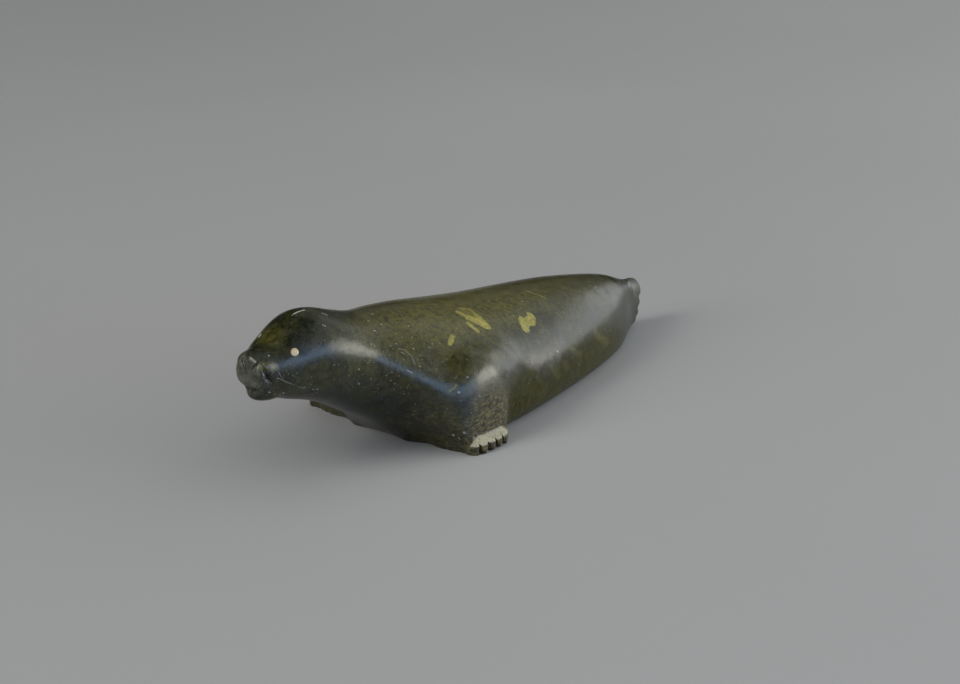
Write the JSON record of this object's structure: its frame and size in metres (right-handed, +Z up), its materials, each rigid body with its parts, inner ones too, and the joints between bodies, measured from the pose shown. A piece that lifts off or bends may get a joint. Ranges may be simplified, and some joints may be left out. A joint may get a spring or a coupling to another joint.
{
  "type": "seal figurine",
  "caption": "Hand-carved dark green stone seal lying on its belly, head low and forward, with inlaid bone eyes.",
  "frame": {"origin": "middle of the footprint, on the ground belly", "axes": "-X towards the nose, +X towards the tail, -Y the seal's left side, +Z up"},
  "size_m": [0.146, 0.0544, 0.037],
  "materials": {
    "stone": "polished",
    "bone": "satin"
  },
  "bodies": {
    "root": {"seal_body": "stone", "left_eye": "bone", "right_eye": "bone"}
  },
  "joints": []
}
